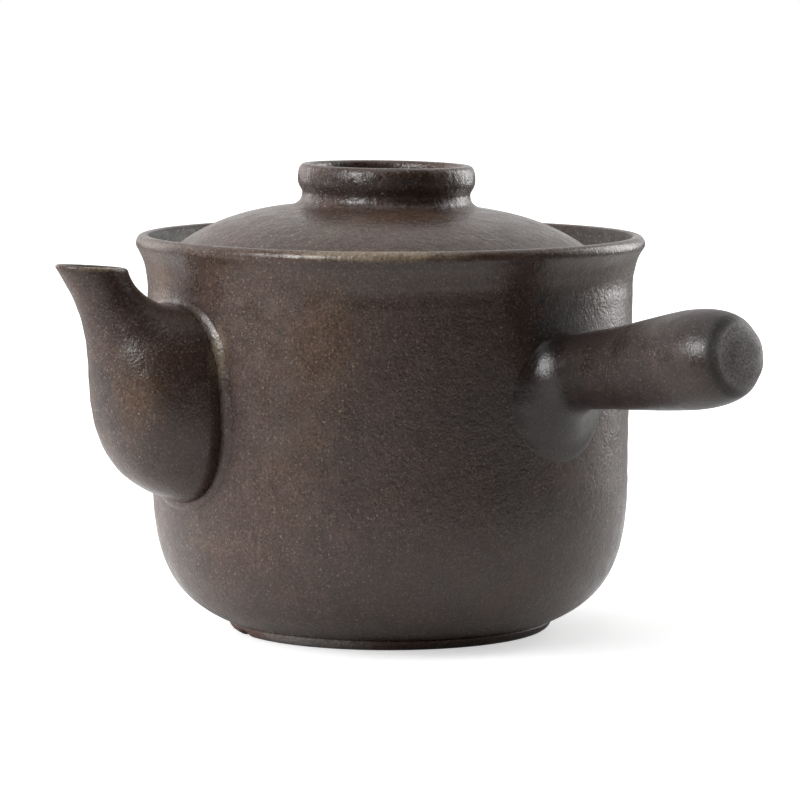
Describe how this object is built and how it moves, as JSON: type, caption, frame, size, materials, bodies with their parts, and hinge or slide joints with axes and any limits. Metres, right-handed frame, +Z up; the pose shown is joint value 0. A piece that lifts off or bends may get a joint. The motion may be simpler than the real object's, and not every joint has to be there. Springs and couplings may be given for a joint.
{
  "type": "herbal medicine pot",
  "caption": "Round stoneware simmering pot with a spout, a hollow side handle, a notched foot ring and a lift-off domed lid with a ring knob.",
  "frame": {"origin": "the point where the pot's axis meets the table it stands on", "axes": "+Z up along the pot's axis, -X along the spout, the side handle at 104.2 degrees anticlockwise from the spout seen from above"},
  "size_m": [0.2249, 0.2572, 0.1676],
  "materials": {
    "stoneware": "satin dark brown stoneware with fine tan specks",
    "lid_stoneware": "satin dark brown stoneware with fine tan specks",
    "bare_clay": "matt red-brown bare clay"
  },
  "bodies": {
    "pot": {"vessel_wall": "stoneware", "vessel_base": "stoneware", "lid_ledge": "stoneware", "strainer": "stoneware", "foot_ring": "bare_clay", "spout": "stoneware", "spout_collar": "stoneware", "handle": "stoneware", "handle_collar": "stoneware"},
    "lid": {"lid_dome": "lid_stoneware", "lid_rim": "lid_stoneware", "lid_flange": "lid_stoneware", "lid_knob": "lid_stoneware"}
  },
  "joints": [
    {"name": "lid_lift", "type": "slide", "parent": "pot", "child": "lid", "axis": [0, 0, 1], "range_m": [0, 0.06]}
  ]
}
